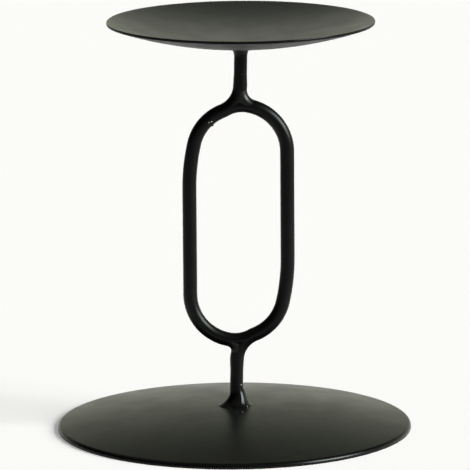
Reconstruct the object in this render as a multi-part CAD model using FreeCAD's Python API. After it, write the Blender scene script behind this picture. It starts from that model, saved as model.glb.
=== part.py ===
import FreeCAD, Part
import math
import os

# Candlestick for a pillar candle: two hooked round bars close into an open loop between two pressed saucers.
# Millimetres, +Z up, origin on the table under the middle of the base. The loop stands in the XZ plane.

V = FreeCAD.Vector

# Base, a shallow saucer turned upside down, its edge turned down to the table
base_d = 160.0
base_rise = 10.1
base_sheet = 1.6
base_lip = 2.0
base_edge_r = 1.0

# Dish, the same kind of saucer the right way up, with a plain dressed edge
dish_d = 120.0
dish_depth = 10.0
dish_sheet = 1.2
dish_edge_r = 0.35

# Round bar, drawn down a little in the stem
bar_d = 6.35
stem_d = 5.9
draw_len = 5.0

# Bending list of a bar, from its stem to the end of its hook, angles in degrees
lower_stem = 21.1
upper_stem = 18.1
lean_angle = 1.35
neck_r = 12.9
neck_angle = 67.0
shoulder_r = 21.0
shoulder_angle = 55.5
easing_r = 91.0
arm_len = 48.7
hook_r = 21.3
hook_angle = 79.6
close_r = 15.0
close_dress = 0.02  # how far under the bar's surface the closing bend is dressed
meet_angle = 59.5  # how far round the other bar's neck the closing bend comes to lie along it

# Where the lower bar stands
foot_x = 0.8

# Welds: legs along the stem and the plate, and the radius of the hollow in each fork of the loop
foot_weld_w = 4.6
foot_weld_h = 7.0
dish_weld_w = 3.2
dish_weld_h = 6.0
upper_fork_r = 5.0
lower_fork_r = 2.3
fork_dress = 0.04  # how far under the bars' surface both of these are dressed
weld_hollow = 0.42  # share of both legs at which the middle of a hollow-faced weld lies


def unit(degrees):
    # Direction in the plane of the loop, turned from +X towards +Z
    angle = math.radians(degrees)
    return V(math.cos(angle), 0, math.sin(angle))


def largest(shape):
    return max(shape.Solids, key=lambda solid: solid.Volume)


def revolved(edges):
    face = Part.Face(Part.Wire(edges))
    return face.revolve(V(0, 0, 0), V(0, 0, 1), 360)


def line(a, b):
    return Part.LineSegment(a, b).toShape()


def dome(apex, radius, reach):
    # Arc from the axis at the height apex out to the radius reach, falling away from the apex
    def at(x):
        return V(x, 0, apex - radius + math.sqrt(radius**2 - x**2))
    return Part.Arc(at(0), at(reach / 2), at(reach)).toShape()


def cap_radius(reach, rise):
    return (reach**2 + rise**2) / (2 * rise)


def ends(edge):
    return edge.valueAt(edge.FirstParameter), edge.valueAt(edge.LastParameter)


def rounded(first, second, corner, radius):
    # Rounds the corner where two edges of a section meet
    fillet = Part.ChFi2d.FilletAlgo(first, second, Part.Plane(V(0, 0, 0), V(0, 1, 0)))
    fillet.perform(radius)
    arc, before, after = fillet.result(corner)
    return [before, arc, after]


def make_base():
    rim = base_d / 2
    bend = cap_radius(rim, base_rise - base_lip)
    outer = dome(base_rise, bend, rim)
    inner = dome(base_rise - base_sheet, bend - base_sheet, rim - base_sheet)
    top, shoulder = ends(outer)
    crown, corner = ends(inner)
    foot_out = V(rim, 0, 0)
    foot_in = V(rim - base_sheet, 0, 0)
    skin = rounded(outer, line(shoulder, foot_out), shoulder, base_edge_r)
    return revolved(skin + [line(foot_out, foot_in), line(foot_in, corner), inner, line(crown, top)])


def make_dish(at):
    # The arcs fall away from the axis, so the bowl is drawn upside down and turned over
    rim = dish_d / 2
    bend = cap_radius(rim, dish_depth)
    under = dome(0, bend, rim)
    inner = dome(-dish_sheet, bend - dish_sheet, rim)
    under_mid, under_rim = ends(under)
    inner_mid, inner_rim = ends(inner)
    under, under_round, wall = rounded(under, line(under_rim, inner_rim), under_rim, dish_edge_r)
    wall, inner_round, inner = rounded(wall, inner, inner_rim, dish_edge_r)
    bowl = revolved([under, under_round, wall, inner_round, inner, line(inner_mid, under_mid)])
    bowl.rotate(V(0, 0, 0), V(1, 0, 0), 180)
    bowl.translate(at)
    return bowl


def trace(start, heading, steps):
    # Follows a bending list in the plane of the loop: (length,) runs straight, (radius, turn) bends
    point = start
    edges = []
    for step in steps:
        if len(step) == 1:
            after = point + unit(heading) * step[0]
            edges.append(line(point, after))
        else:
            radius, turn = step
            side = math.copysign(1, turn)
            middle = point + unit(heading + 90) * (side * radius)
            on_arc = [middle - unit(heading + turn * k + 90) * (side * radius) for k in (0.5, 1)]
            after = on_arc[1]
            edges.append(Part.Arc(point, on_arc[0], after).toShape())
            heading = heading + turn
        point = after
    return edges, point, heading


def bar_along(edges, width=bar_d):
    first = edges[0]
    start = first.valueAt(first.FirstParameter)
    profile = Part.Wire(Part.makeCircle(width / 2, start, first.tangentAt(first.FirstParameter)))
    return Part.Wire(edges).makePipeShell([profile], True, False)


def make_stem(length):
    # Hangs back from the start of the neck, and is drawn down from the bar's size
    back = unit(stem_heading) * -1
    drawn = Part.makeCone(bar_d / 2, stem_d / 2, draw_len, V(0, 0, 0), back)
    return drawn.fuse(Part.makeCylinder(stem_d / 2, length - draw_len, back * draw_len, back))


def half_turn(shape):
    turned = shape.copy()
    turned.rotate(loop_mid, V(0, 1, 0), 180)
    return turned


# The bars are laid out from the start of the lower bar's neck
stem_heading = 90 - lean_angle
easing_angle = neck_angle + lean_angle - shoulder_angle
run_steps = [(neck_r, -neck_angle), (shoulder_r, shoulder_angle), (easing_r, easing_angle), (arm_len,)]
run_path, arm_end, arm_heading = trace(V(0, 0, 0), stem_heading, run_steps)
run = bar_along(run_path)

# The hook, and the closing bend that turns it until it heads the same way as the other bar's neck
close_angle = stem_heading + 180 - meet_angle - arm_heading - hook_angle
hook_path, hook_end, hook_heading = trace(arm_end, arm_heading, [(hook_r, hook_angle)])
close_path, meeting, meeting_heading = trace(hook_end, hook_heading, [(close_r, close_angle)])
hook = bar_along(hook_path).fuse(bar_along(close_path, bar_d - 2 * close_dress))

# The loop's middle: the upper bar is the lower one turned half round it
on_neck = trace(V(0, 0, 0), stem_heading, [(neck_r, -meet_angle)])[1]
loop_mid = (meeting + on_neck) * 0.5
other_neck = loop_mid * 2


def make_bar(stem_length):
    coped = largest(hook.cut(half_turn(run)))
    return make_stem(stem_length).fuse([run, coped]).removeSplitter()


def make_collar(width, height, depth):
    # Hollow-faced weld round a stem that stands at the origin, carried down by depth to be cut to the plate
    inside = stem_d / 2
    top = V(inside, 0, height)
    belly = V(inside + weld_hollow * width, 0, weld_hollow * height)
    toe = V(inside + width, 0, 0)
    low_toe = toe - V(0, 0, depth)
    low_inside = V(inside, 0, -depth)
    face = Part.Arc(top, belly, toe).toShape()
    return revolved([face, line(toe, low_toe), line(low_toe, low_inside), line(low_inside, top)])


def make_joint_weld(hollow_r):
    # Fills the fork above the lower bar's hook with a short bend that runs out along both bars
    bend = hollow_r + bar_d / 2
    neck_mid = other_neck + unit(stem_heading + 90) * neck_r
    hook_mid = arm_end + unit(arm_heading + 90) * hook_r
    round_neck = Part.Circle(neck_mid, V(0, 1, 0), neck_r + bend)
    round_hook = Part.Circle(hook_mid, V(0, 1, 0), hook_r + bend)
    crossing = max(round_neck.intersectCC(round_hook), key=lambda point: point.X)
    middle = V(crossing.X, crossing.Y, crossing.Z)
    towards = [(other - middle).normalize() for other in (neck_mid, hook_mid)]
    half_way = (towards[0] + towards[1]).normalize()
    start, through, end = [middle + way * bend for way in (towards[0], half_way, towards[1])]
    return bar_along([Part.Arc(start, through, end).toShape()], bar_d - 2 * fork_dress)


os.makedirs("parts", exist_ok=True)

neck_at = V(foot_x, 0, base_rise) + unit(stem_heading) * lower_stem
dish_at = neck_at + other_neck + unit(stem_heading) * upper_stem

base_plate = make_base()
dish = make_dish(dish_at)

lower_bar = make_bar(lower_stem + base_sheet / 2)
upper_bar = half_turn(make_bar(upper_stem + dish_sheet / 2))
upper_joint_weld = make_joint_weld(upper_fork_r)
lower_joint_weld = half_turn(make_joint_weld(lower_fork_r))
for piece in (lower_bar, upper_bar, upper_joint_weld, lower_joint_weld):
    piece.translate(neck_at)

lower_bar = largest(lower_bar.cut(base_plate))
upper_bar = largest(upper_bar.cut(dish))
upper_joint_weld = largest(upper_joint_weld.cut([lower_bar, upper_bar]))
lower_joint_weld = largest(lower_joint_weld.cut([lower_bar, upper_bar]))

base_weld = make_collar(foot_weld_w, foot_weld_h, base_sheet / 2)
base_weld.rotate(V(0, 0, 0), V(0, 1, 0), lean_angle)
base_weld.translate(V(foot_x, 0, base_rise))
base_weld = largest(base_weld.cut(base_plate))

dish_weld = make_collar(dish_weld_w, dish_weld_h, dish_sheet / 2)
dish_weld.rotate(V(0, 0, 0), V(0, 1, 0), lean_angle + 180)
dish_weld.translate(dish_at)
dish_weld = largest(dish_weld.cut(dish))

nodes = {
    "base_plate": base_plate,
    "lower_bar": lower_bar,
    "upper_bar": upper_bar,
    "dish": dish,
    "base_weld": base_weld,
    "dish_weld": dish_weld,
    "lower_joint_weld": lower_joint_weld,
    "upper_joint_weld": upper_joint_weld,
}
for name, shape in nodes.items():
    shape.exportStep(f"parts/{name}.step")
    print(f"{name}: {shape.Volume:.1f} mm3")
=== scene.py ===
import math

import bmesh
import bpy
from mathutils import Matrix, Quaternion, Vector, noise
from mathutils.bvhtree import BVHTree


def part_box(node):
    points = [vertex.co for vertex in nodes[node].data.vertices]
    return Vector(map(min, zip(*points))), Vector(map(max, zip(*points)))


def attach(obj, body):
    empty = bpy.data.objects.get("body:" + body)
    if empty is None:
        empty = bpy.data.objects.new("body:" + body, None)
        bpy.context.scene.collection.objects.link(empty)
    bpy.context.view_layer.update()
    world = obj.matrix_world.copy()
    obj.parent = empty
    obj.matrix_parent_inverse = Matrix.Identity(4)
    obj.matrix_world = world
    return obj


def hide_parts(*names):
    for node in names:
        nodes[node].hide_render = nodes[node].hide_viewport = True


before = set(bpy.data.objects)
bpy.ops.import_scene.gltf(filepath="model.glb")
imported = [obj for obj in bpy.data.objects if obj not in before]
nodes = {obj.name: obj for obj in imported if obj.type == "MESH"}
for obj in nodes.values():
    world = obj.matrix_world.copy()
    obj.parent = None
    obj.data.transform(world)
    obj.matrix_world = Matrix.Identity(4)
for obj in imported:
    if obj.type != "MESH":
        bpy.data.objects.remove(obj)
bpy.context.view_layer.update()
scene = bpy.context.scene
scene.view_settings.view_transform = "Standard"
mm = 0.001
print("frame loaded:", ", ".join(sorted(nodes)))


def toLinear(hexColour):
    # sRGB hex to linear RGBA
    parts = [int(hexColour[i:i + 2], 16) / 255 for i in (1, 3, 5)]
    return tuple(p / 12.92 if p <= 0.04045 else ((p + 0.055) / 1.055) ** 2.4 for p in parts) + (1.0,)


def addNode(tree, kind, settings=None, links=None):
    # settings: sockets by name or number, anything else an attribute; links: socket -> (node, output)
    node = tree.nodes.new(kind)
    for key, value in (settings or {}).items():
        if isinstance(key, int) or key in node.inputs:
            node.inputs[key].default_value = value
        else:
            setattr(node, key, value)
    for socket, (source, output) in (links or {}).items():
        tree.links.new(source.outputs[output], node.inputs[socket])
    return node


# Camera: a long lens from a little above, as in the photograph
cameraView = {
    "place": (0.0, -2.130956, 0.515648),
    "aim": (0.0008, 0.0009, 0.08844),
    "roll": -0.4,      # degrees
    "lens": 369.85,    # mm
    "sensor": 36.0,    # mm
}


def setCamera(view):
    data = bpy.data.cameras.new("studioCamera")
    data.sensor_width = view["sensor"]
    data.lens = view["lens"]
    camera = bpy.data.objects.new("studioCamera", data)
    scene.collection.objects.link(camera)
    sight = Vector(view["aim"]) - Vector(view["place"])
    turn = sight.to_track_quat("-Z", "Y") @ Quaternion((0, 0, 1), math.radians(view["roll"]))
    camera.matrix_world = Matrix.Translation(view["place"]) @ turn.to_matrix().to_4x4()
    scene.camera = camera


setCamera(cameraView)
print("camera set")


# Studio: a pale floor with painted shade in front and at the sides, a pale glow behind, a broad soft light
# from the right, a weak one from above and a strip for the hollow of the dish
studio = {
    "floorColour": "#e5ddde",
    "glowColour": "#fbfbfa",
    "floorGlow": 0.285,            # added where the camera or a mirror sees the floor
    "shadeColour": "#bcb4b5",
    "shadeFront": (0.09, 0.30),    # m towards the viewer, where the shade begins and where it is full
    "shadeSide": (0.15, 0.60),     # m to the left and right
    "floorRadius": 40.0,           # m
    "floorSides": 128,
    "horizonColour": "#f0f5de",
    "horizonFade": 0.34,           # sine of the height at which the glow has fallen to 1/e
    "glowRight": 0.35,             # how far the glow behind reaches round to the right
    "glowSpan": (0.2, 0.8),        # where it begins and where it is full
    "ceilingLevel": 0.01,
    "keyColour": "#ecf5f2",
    "keyFrom": (70.0, 26.0),       # degrees right of the front, degrees up
    "keySpread": 32.0,             # degrees across
    "keyStrength": 6.5,            # W/m2 square on
    "topColour": "#f6f7f2",
    "topFrom": (0.0, 90.0),
    "topSpread": 90.0,
    "topStrength": 0.3,
    "stripColour": "#f2f4e6",
    "stripPlace": (0.0, 0.25, 0.285),  # m, behind and above the dish
    "stripAim": (0.0, 0.0, 0.18),      # m, in the hollow of the dish
    "stripSize": (0.5, 0.06),          # m
    "stripSpread": 40.0,               # degrees, a grid keeps it off the base
    "stripPower": 0.0038,              # W
}


def addSun(name, colour, azimuth, height, spread, strength):
    data = bpy.data.lights.new(name, "SUN")
    data.color = toLinear(colour)[:3]
    data.angle = math.radians(spread)
    data.energy = strength
    lamp = bpy.data.objects.new(name, data)
    scene.collection.objects.link(lamp)
    a = math.radians(azimuth)
    h = math.radians(height)
    towards = Vector((math.sin(a) * math.cos(h), -math.cos(a) * math.cos(h), math.sin(h)))
    lamp.matrix_world = towards.to_track_quat("Z", "Y").to_matrix().to_4x4()


def addStrip(settings):
    # a long low softbox behind, which only the hollow of the dish mirrors
    data = bpy.data.lights.new("backStrip", "AREA")
    data.shape = "RECTANGLE"
    data.size, data.size_y = settings["stripSize"]
    data.spread = math.radians(settings["stripSpread"])
    data.color = toLinear(settings["stripColour"])[:3]
    data.energy = settings["stripPower"]
    lamp = bpy.data.objects.new("backStrip", data)
    scene.collection.objects.link(lamp)
    place = Vector(settings["stripPlace"])
    away = place - Vector(settings["stripAim"])
    turn = away.to_track_quat("Z", "Y").to_matrix().to_4x4()
    lamp.matrix_world = Matrix.Translation(place) @ turn


def makeFloor(settings):
    mesh = bpy.data.meshes.new("paperFloor")
    bm = bmesh.new()
    bmesh.ops.create_circle(bm, cap_ends=True, segments=settings["floorSides"], radius=settings["floorRadius"])
    bm.to_mesh(mesh)
    bm.free()
    floor = bpy.data.objects.new("paperFloor", mesh)
    scene.collection.objects.link(floor)
    # matt pale paper, white round the object and with painted shade where only the bars mirror it, which keeps
    # them dark
    material = bpy.data.materials.new("mattPaper")
    material.use_nodes = True
    tree = material.node_tree
    shader = tree.nodes["Principled BSDF"]
    where = addNode(tree, "ShaderNodeTexCoord")
    axes = addNode(tree, "ShaderNodeSeparateXYZ", links={0: (where, "Object")})
    front = addNode(tree, "ShaderNodeMath", {"operation": "MULTIPLY", 1: -1.0}, {0: (axes, "Y")})
    side = addNode(tree, "ShaderNodeMath", {"operation": "ABSOLUTE"}, {0: (axes, "X")})
    falls = []
    for away, (begins, full) in ((front, settings["shadeFront"]), (side, settings["shadeSide"])):
        fall = {"interpolation_type": "SMOOTHSTEP", 1: begins, 2: full, 3: 1.0, 4: 0.0}
        falls.append(addNode(tree, "ShaderNodeMapRange", fall, {0: (away, 0)}))
    light = addNode(tree, "ShaderNodeMath", {"operation": "MULTIPLY"}, {0: (falls[0], 0), 1: (falls[1], 0)})
    colours = {"data_type": "RGBA", 6: toLinear(settings["shadeColour"]), 7: toLinear(settings["floorColour"])}
    tint = addNode(tree, "ShaderNodeMix", colours, {0: (light, 0)})
    tree.links.new(tint.outputs[2], shader.inputs["Base Color"])
    shader.inputs["Roughness"].default_value = 1.0
    shader.inputs["Specular IOR Level"].default_value = 0.0
    path = addNode(tree, "ShaderNodeLightPath")
    seen = addNode(tree, "ShaderNodeMath", {"operation": "MAXIMUM"},
                   {0: (path, "Is Camera Ray"), 1: (path, "Is Glossy Ray")})
    seen = addNode(tree, "ShaderNodeMath", {"operation": "MAXIMUM"},
                   {0: (seen, 0), 1: (path, "Is Transmission Ray")})
    glow = addNode(tree, "ShaderNodeMath", {"operation": "MULTIPLY", 1: settings["floorGlow"]}, {0: (seen, 0)})
    glow = addNode(tree, "ShaderNodeMath", {"operation": "MULTIPLY"}, {0: (glow, 0), 1: (light, 0)})
    tree.links.new(glow.outputs[0], shader.inputs["Emission Strength"])
    shader.inputs["Emission Color"].default_value = toLinear(settings["glowColour"])
    mesh.materials.append(material)


def makeWorld(settings):
    world = bpy.data.worlds.new("paleHorizon")
    world.use_nodes = True
    scene.world = world
    tree = world.node_tree
    background = tree.nodes["Background"]
    background.inputs["Color"].default_value = toLinear(settings["horizonColour"])
    where = addNode(tree, "ShaderNodeTexCoord")
    axes = addNode(tree, "ShaderNodeSeparateXYZ", links={0: (where, "Generated")})
    height = addNode(tree, "ShaderNodeMath", {"operation": "DIVIDE", 1: settings["horizonFade"]},
                     {0: (axes, "Z")})
    square = addNode(tree, "ShaderNodeMath", {"operation": "MULTIPLY"}, {0: (height, 0), 1: (height, 0)})
    fade = addNode(tree, "ShaderNodeMath", {"operation": "MULTIPLY", 1: -1.0}, {0: (square, 0)})
    fall = addNode(tree, "ShaderNodeMath", {"operation": "EXPONENT"}, {0: (fade, 0)})
    side = addNode(tree, "ShaderNodeMath", {"operation": "MULTIPLY_ADD", 1: settings["glowRight"]},
                   {0: (axes, "X"), 2: (axes, "Y")})
    begins, full = settings["glowSpan"]
    behind = addNode(tree, "ShaderNodeMapRange", {"interpolation_type": "SMOOTHSTEP", 1: begins, 2: full},
                     {0: (side, 0)})
    both = addNode(tree, "ShaderNodeMath", {"operation": "MULTIPLY"}, {0: (fall, 0), 1: (behind, 0)})
    glow = addNode(tree, "ShaderNodeMapRange", {3: settings["ceilingLevel"], 4: 1.0}, {0: (both, 0)})
    tree.links.new(glow.outputs[0], background.inputs["Strength"])


makeFloor(studio)
makeWorld(studio)
addSun("windowKey", studio["keyColour"], *studio["keyFrom"], studio["keySpread"], studio["keyStrength"])
addSun("ceilingFill", studio["topColour"], *studio["topFrom"], studio["topSpread"], studio["topStrength"])
addStrip(studio)
print("studio set")


# Paints: one satin black enamel, sprayed over steel, which lies differently on each kind of piece.
# Its orange peel is about 0.3 mm across and too fine to show, so peelSize draws it two to four times coarser,
# and on the plates peelDepth draws it deeper, for the fine grain that they have in the photograph.
# Sizes are in mm; thinColour is the colour of a thin coat, and cloud is how far the roughness varies.

# full coat on the pressed base: soft and finely grained, mirrors the pale wall behind as an olive grey
sheetPaint = {
    "colour": "#0d0e0c",
    "thinColour": "#121310",
    "ior": 1.4,
    "roughness": 0.33,
    "cloud": 0.05,
    "cloudSize": 14.0,
    "peelSize": 1.0,
    "peelDepth": 0.09,
}
# the same coat in the hollow of the dish: greyer than on the base, which paints in the stronger light that the
# hollow gets, and with a broader sheen
dishPaint = {
    "colour": "#131511",
    "thinColour": "#181a15",
    "ior": 1.5,
    "roughness": 0.36,
    "cloud": 0.05,
    "cloudSize": 12.0,
    "peelSize": 1.0,
    "peelDepth": 0.08,
}
# dry overspray where the gun only reached at a slant: dusty and dull
undersidePaint = {
    "colour": "#141511",
    "thinColour": "#1a1b16",
    "ior": 1.4,
    "roughness": 0.52,
    "cloud": 0.08,
    "cloudSize": 8.0,
    "peelSize": 0.9,
    "peelDepth": 0.008,
}
# along the edges of the sheet, drawn blacker than the sheet as painted shade: a thin black line that only
# glints towards the window
rimPaint = {
    "colour": "#050605",
    "thinColour": "#080908",
    "ior": 1.27,
    "roughness": 0.28,
    "cloud": 0.05,
    "cloudSize": 10.0,
    "peelSize": 1.3,
    "peelDepth": 0.006,
}
# thick coat on bent bar: nearly black, with long soft highlights round the bends
barPaint = {
    "colour": "#040504",
    "thinColour": "#070807",
    "ior": 1.26,
    "roughness": 0.35,
    "cloud": 0.05,
    "cloudSize": 9.0,
    "peelSize": 1.1,
    "peelDepth": 0.006,
}
# coat over the ground fork welds: grinding marks under it break the highlight up and spread it
weldPaint = {
    "colour": "#050605",
    "thinColour": "#090a09",
    "ior": 1.4,
    "roughness": 0.39,
    "cloud": 0.08,
    "cloudSize": 3.0,
    "peelSize": 0.8,
    "peelDepth": 0.012,
}
# pooled round the plate welds, which were left as laid: wetter and blacker, with one sharp highlight
plateWeldPaint = {
    "colour": "#050605",
    "thinColour": "#090a09",
    "ior": 1.28,
    "roughness": 0.28,
    "cloud": 0.08,
    "cloudSize": 3.0,
    "peelSize": 0.7,
    "peelDepth": 0.008,
}
# mild steel where the paint has rubbed off the spatter: bright warm grey specks
rubbedSteel = {
    "colour": "#a5a49c",
    "thinColour": "#8d8b80",
    "metallic": 1.0,
    "ior": 1.5,
    "roughness": 0.3,
    "cloud": 0.15,
    "cloudSize": 0.5,
    "peelSize": 0.3,
    "peelDepth": 0.01,
}
# what all coats share: the span of the noise over which a coat thins, and how much detail the noises have
coat = {
    "thinSpan": (0.35, 0.65),
    "cloudDetail": 3.0,
    "peelDetail": 2.0,
}


def makePaint(name, finish):
    material = bpy.data.materials.new(name)
    material.use_nodes = True
    tree = material.node_tree
    shader = tree.nodes["Principled BSDF"]
    shader.inputs["IOR"].default_value = finish["ior"]
    shader.inputs["Metallic"].default_value = finish.get("metallic", 0.0)
    where = addNode(tree, "ShaderNodeTexCoord")
    # cloudy patches: thin paint is a little paler and duller
    clouds = addNode(tree, "ShaderNodeTexNoise",
                     {"Scale": 1 / (finish["cloudSize"] * mm), "Detail": coat["cloudDetail"]},
                     {"Vector": (where, "Object")})
    begins, full = coat["thinSpan"]
    patch = addNode(tree, "ShaderNodeMapRange", {1: begins, 2: full}, {0: (clouds, 0)})
    colours = {"data_type": "RGBA", 6: toLinear(finish["colour"]), 7: toLinear(finish["thinColour"])}
    tint = addNode(tree, "ShaderNodeMix", colours, {0: (patch, 0)})
    half = finish["cloud"] / 2
    gloss = addNode(tree, "ShaderNodeMapRange", {3: finish["roughness"] - half, 4: finish["roughness"] + half},
                    {0: (patch, 0)})
    # orange peel, which breaks the edges of the highlights
    peel = addNode(tree, "ShaderNodeTexNoise",
                   {"Scale": 1 / (finish["peelSize"] * mm), "Detail": coat["peelDetail"]},
                   {"Vector": (where, "Object")})
    bump = addNode(tree, "ShaderNodeBump", {"Strength": 1.0, "Distance": finish["peelDepth"] * mm},
                   {"Height": (peel, 0)})
    tree.links.new(tint.outputs[2], shader.inputs["Base Color"])
    tree.links.new(gloss.outputs[0], shader.inputs["Roughness"])
    tree.links.new(bump.outputs[0], shader.inputs["Normal"])
    return material


sheetMaterial = makePaint("satinEnamelOnSheet", sheetPaint)
dishMaterial = makePaint("satinEnamelInDish", dishPaint)
undersideMaterial = makePaint("drySprayUnderDish", undersidePaint)
rimMaterial = makePaint("satinEnamelOnEdge", rimPaint)
barMaterial = makePaint("satinEnamelOnBar", barPaint)
weldMaterial = makePaint("satinEnamelOnWeld", weldPaint)
plateWeldMaterial = makePaint("thickEnamelOnPlateWeld", plateWeldPaint)
steelMaterial = makePaint("rubbedSteel", rubbedSteel)
print("paints mixed")


creaseAngle = 35.0  # degrees, edges that bend more than this stay sharp


def finishPiece(name, bm, materials, replaced=()):
    bmesh.ops.recalc_face_normals(bm, faces=bm.faces)
    for edge in bm.edges:
        edge.smooth = edge.calc_face_angle(0.0) < math.radians(creaseAngle)
    for face in bm.faces:
        face.smooth = True
    mesh = bpy.data.meshes.new(name)
    bm.to_mesh(mesh)
    bm.free()
    for material in materials:
        mesh.materials.append(material)
    piece = bpy.data.objects.new(name, mesh)
    scene.collection.objects.link(piece)
    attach(piece, "root")
    if replaced:
        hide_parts(*replaced)
    return piece


def lathe(outline, middle, segments):
    # turns (radius, height, material number) round an upright axis; an outline starts and ends on the axis
    bm = bmesh.new()
    rings = []
    numbers = []
    for radius, height, number in outline:
        ring = []
        for k in range(segments if radius > 0 else 1):
            turn = 2 * math.pi * k / segments
            point = Vector((radius * math.cos(turn), radius * math.sin(turn), height))
            ring.append(bm.verts.new(middle + point))
        rings.append(ring)
        numbers.append(number)
    for inner, outer, number in zip(rings, rings[1:], numbers[1:]):
        for i in range(segments):
            j = (i + 1) % segments
            corners = [inner[i % len(inner)], inner[j % len(inner)]]
            corners += [outer[j % len(outer)], outer[i % len(outer)]]
            face = bm.faces.new(list(dict.fromkeys(corners)))
            face.material_index = number
    return bm


def arc(middle, radius, start, end, count, number):
    # outline points along an arc, angles in radians up from the outward direction
    angles = [start + (end - start) * k / count for k in range(count + 1)]
    return [(middle[0] + radius * math.cos(a), middle[1] + radius * math.sin(a), number) for a in angles]


def tangentStart(domeRadius, domeMiddle, edgeRadius, rim):
    # middle of the edge's round inside a dome, and the angle at which the two meet
    out = rim - edgeRadius
    up = math.sqrt((domeRadius - edgeRadius) ** 2 - out ** 2)
    return (out, domeMiddle + up), math.atan2(up, out)


# Base: the dome, its rounded shoulder and the lip that stands on the table
basePlate = {
    "sheet": 1.6,       # mm
    "lip": 2.0,
    "edge": 1.6,
    "segments": 256,    # round the rim
    "topSteps": 48,     # along the outline
    "edgeSteps": 12,
    "underSteps": 40,
}


def makeBase(plate):
    low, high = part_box("base_plate")
    rim = (high.x - low.x) / 2
    sheet, lip, edge = (plate[key] * mm for key in ("sheet", "lip", "edge"))
    rise = high.z - lip
    bend = (rim ** 2 + rise ** 2) / (2 * rise)
    heart = high.z - bend
    edgeMiddle, meets = tangentStart(bend, heart, edge, rim)
    innerMeets = math.acos((rim - sheet) / (bend - sheet))
    outline = [(0.0, high.z, 0)] + arc((0.0, heart), bend, math.pi / 2, meets, plate["topSteps"], 0)[1:]
    outline += arc(edgeMiddle, edge, meets, 0.0, plate["edgeSteps"], 1)[1:]
    outline += [(rim, 0.0, 1), (rim - sheet, 0.0, 1)]
    outline += arc((0.0, heart), bend - sheet, innerMeets, math.pi / 2, plate["underSteps"], 2)[:-1]
    outline += [(0.0, high.z - sheet, 2)]
    bm = lathe(outline, Vector((0.0, 0.0, 0.0)), plate["segments"])
    materials = [sheetMaterial, rimMaterial, undersideMaterial]
    finishPiece("basePlate", bm, materials, ["base_plate"])
    return bend, heart


baseBend, baseHeart = makeBase(basePlate)


# Dish: hollow, dressed edge and underside
dishBowl = {
    "sheet": 1.2,         # mm
    "depth": 10.0,
    "edge": 0.35,
    "segments": 224,      # round the rim
    "underSteps": 40,     # along the outline
    "edgeSteps": (5, 6),
    "topSteps": 44,
}


def makeDish(bowl):
    low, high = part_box("dish")
    rim = (high.x - low.x) / 2
    sheet, depth, edge = (bowl[key] * mm for key in ("sheet", "depth", "edge"))
    bend = (rim ** 2 + depth ** 2) / (2 * depth)
    out = rim - edge
    underUp = math.sqrt((bend - edge) ** 2 - out ** 2)
    innerUp = math.sqrt((bend - sheet + edge) ** 2 - out ** 2)
    underMeets = -math.atan2(underUp, out)
    innerMeets = -math.atan2(innerUp, out)
    underEdge, innerEdge = bowl["edgeSteps"]
    outline = [(0.0, 0.0, 2)] + arc((0.0, bend), bend, -math.pi / 2, underMeets, bowl["underSteps"], 2)[1:]
    outline += arc((out, bend - underUp), edge, underMeets, 0.0, underEdge, 1)[1:]
    outline += arc((out, bend - innerUp), edge, 0.0, innerMeets + math.pi, innerEdge, 1)
    outline += arc((0.0, bend), bend - sheet, innerMeets, -math.pi / 2, bowl["topSteps"], 0)[1:-1]
    outline += [(0.0, sheet, 0)]
    middle = Vector(((low.x + high.x) / 2, (low.y + high.y) / 2, low.z))
    bm = lathe(outline, middle, bowl["segments"])
    materials = [dishMaterial, rimMaterial, undersideMaterial]
    finishPiece("dishBowl", bm, materials, ["dish"])
    return bend, middle


dishBend, dishMiddle = makeDish(dishBowl)
print("plates turned")


# Plate welds: hollow beads with the ripples of the weld pool, the one at the foot higher on the right
footBead = {
    "stem": 2.95,         # mm, radius
    "lean": 1.35,         # degrees to the right
    "leg": 5.1,
    "legRight": -0.2,     # added on the right, taken off on the left
    "climb": 6.7,
    "climbRight": 1.1,
    "left": ((0.10, 0.65), (0.40, 0.20)),    # pulls on the face of the bead, as shares of leg and climb
    "right": ((0.40, 0.78), (0.50, -0.02)),
    "ripples": 23,        # round the stem
    "rippleDepth": 0.03,
    "wander": 0.5,        # how unevenly the legs run
    "seed": 0.0,
    "segments": 160,
    "steps": 26,
}
dishBead = {
    "stem": 2.95,
    "lean": 1.35,
    "leg": 3.1,
    "legRight": -0.5,
    "climb": 4.9,
    "climbRight": 0.0,
    "left": ((0.06, 0.55), (0.40, 0.15)),
    "right": ((0.06, 0.55), (0.35, 0.10)),
    "ripples": 15,
    "rippleDepth": 0.02,
    "wander": 0.3,
    "seed": 4.0,
    "segments": 112,
    "steps": 18,
}
# what both beads share
weldPool = {
    "legWaves": 1.7,      # scale of the noise along each leg
    "climbWaves": 1.3,
    "climbSeed": 5.0,     # keeps the two legs from wandering together
    "curl": 9.0,          # radians that a ripple trails from head to toe
    "buried": 0.15,       # mm inside the stem and the plate
}


def onBase(x, y):
    return baseHeart + math.sqrt(baseBend ** 2 - x ** 2 - y ** 2)


def underDish(x, y):
    across = (x - dishMiddle.x) ** 2 + (y - dishMiddle.y) ** 2
    return dishMiddle.z + dishBend - math.sqrt(dishBend ** 2 - across)


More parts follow.
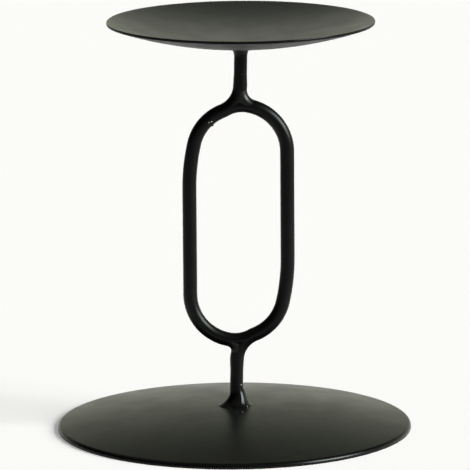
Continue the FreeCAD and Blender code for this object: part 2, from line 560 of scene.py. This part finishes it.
def makeBead(name, bead, place, onPlate, up, node):
    # columns of points down the face, closed behind, inside the stem and the plate
    bm = bmesh.new()
    stem = bead["stem"] * mm
    tilt = up * math.tan(math.radians(bead["lean"]))
    buried = weldPool["buried"] * mm
    legSeed = Vector((0.0, 0.0, bead["seed"]))
    climbSeed = Vector((weldPool["climbSeed"], 0.0, bead["seed"]))
    columns = []
    for i in range(bead["segments"]):
        turn = 2 * math.pi * i / bead["segments"]
        outward = Vector((math.cos(turn), math.sin(turn), 0.0))
        stray = noise.noise(outward * weldPool["legWaves"] + legSeed) * bead["wander"]
        leg = (bead["leg"] + bead["legRight"] * outward.x + stray) * mm
        stray = noise.noise(outward * weldPool["climbWaves"] + climbSeed) * bead["wander"]
        climb = (bead["climb"] + bead["climbRight"] * outward.x + stray) * mm
        share = (1 + outward.x) / 2
        pulls = [Vector(a).lerp(Vector(b), share) for a, b in zip(bead["left"], bead["right"])]
        column = []
        for k in range(bead["steps"] + 1):
            # a cubic from the head on the stem to the toe on the plate
            t = k / bead["steps"]
            near = 3 * t * (1 - t) ** 2
            far = 3 * t * t * (1 - t)
            out = near * pulls[0].x + far * pulls[1].x + t ** 3
            rise = near * pulls[0].y + far * pulls[1].y + (1 - t) ** 3
            ripple = math.sin(bead["ripples"] * turn + weldPool["curl"] * t * t)
            swell = math.sin(math.pi * t) * bead["rippleDepth"] * mm * ripple
            radius = stem + out * leg + swell
            x = place.x + outward.x * radius + rise * climb * tilt
            y = place.y + outward.y * radius
            column.append(bm.verts.new((x, y, onPlate(x, y) + up * (rise * climb + swell))))
        head = column[0].co
        toe = column[-1].co
        low = place + outward * (stem - buried)
        column.append(bm.verts.new((toe.x, toe.y, toe.z - up * buried)))
        column.append(bm.verts.new((low.x, low.y, onPlate(low.x, low.y) - up * buried)))
        column.append(bm.verts.new((head.x - outward.x * buried, head.y - outward.y * buried, head.z)))
        columns.append(column)
    for left, right in zip(columns, columns[1:] + columns[:1]):
        for k in range(len(left)):
            n = (k + 1) % len(left)
            bm.faces.new((left[k], right[k], right[n], left[n]))
    return finishPiece(name, bm, [plateWeldMaterial], [node])


stemFoot = Vector((0.8 * mm, 0.0, 0.0))  # where the lower stem stands
footPiece = makeBead("footWeldBead", footBead, stemFoot, onBase, 1, "base_weld")
makeBead("dishWeldBead", dishBead, dishMiddle, underDish, -1, "dish_weld")
print("plate welds laid")


# Spatter from the welds, its beads rubbed bare, and nibs under the paint of the bars: place and width in mm
spatter = {
    "atFoot": [((5.7, -4.9), 0.9), ((0.74, -12.07), 0.55), ((3.48, -13.12), 0.9)],  # seen from above
    "onBars": [
        ("upper_bar", (-9.4, -2.6, 141.1), 0.7),
        ("upper_bar", (-10.5, -2.6, 140.8), 0.6),
        ("upper_bar", (-10.85, -2.6, 140.4), 0.45),
        ("lower_bar", (2.95, -2.1, 19.8), 0.85),
    ],
    "nibs": [("upper_bar", (4.55, -3.0, 162.4), 0.9), ("upper_bar", (-9.6, -0.4, 139.7), 1.25)],
    "barSeed": 3,
    "nibSeed": 7,
    "seedStep": 3.1,
    "height": 0.55,       # of the width
    "standsOut": 0.12,    # of the height, how far the middle lies above what it sits on
    "lump": 0.16,         # how far from round a bead is
    "lumpScale": 2.2,
    "dropFrom": 50.0,     # mm up, where the search for the face of the weld begins
}


def addBead(bm, settings, place, normal, width, seed):
    # a squat lump, sunk a little over a third of its height into what it sits on
    turn = normal.to_track_quat("Z", "Y").to_matrix().to_4x4()
    offset = Vector((seed * settings["seedStep"], 0.0, 0.0))
    height = settings["height"]
    made = bmesh.ops.create_icosphere(bm, subdivisions=3, radius=0.5)
    for vert in made["verts"]:
        lump = 1 + settings["lump"] * noise.noise(vert.co * settings["lumpScale"] + offset)
        up = vert.co.z * lump * height + settings["standsOut"] * height
        vert.co = place + turn @ (Vector((vert.co.x * lump, vert.co.y * lump, up)) * width)


def makeSpatter(settings, weld):
    state = bpy.context.evaluated_depsgraph_get()
    face = BVHTree.FromObject(weld, state)
    bm = bmesh.new()
    for k, ((x, y), width) in enumerate(settings["atFoot"]):
        above = Vector((x, y, settings["dropFrom"])) * mm
        spot, normal = face.ray_cast(above, Vector((0.0, 0.0, -1.0)))[:2]
        if spot is None:  # beside the weld, so it lies on the base
            spot = Vector((above.x, above.y, onBase(above.x, above.y)))
            normal = (spot - Vector((0.0, 0.0, baseHeart))).normalized()
        addBead(bm, settings, spot, normal, width * mm, k)
    bars = {name: BVHTree.FromObject(nodes[name], state) for name in ("lower_bar", "upper_bar")}
    for k, (bar, near, width) in enumerate(settings["onBars"]):
        spot, normal = bars[bar].find_nearest(Vector(near) * mm)[:2]
        addBead(bm, settings, spot, normal, width * mm, k + settings["barSeed"])
    finishPiece("weldSpatter", bm, [steelMaterial])
    bm = bmesh.new()
    for k, (bar, near, width) in enumerate(settings["nibs"]):
        spot, normal = bars[bar].find_nearest(Vector(near) * mm)[:2]
        addBead(bm, settings, spot, normal, width * mm, k + settings["nibSeed"])
    finishPiece("paintNibs", bm, [weldMaterial])


makeSpatter(spatter, footPiece)
print("spatter set")

# the bars and the fork welds are the CAD solids themselves
for name, node in nodes.items():
    node.data.materials.clear()
    node.data.materials.append(weldMaterial if name.endswith("weld") else barMaterial)
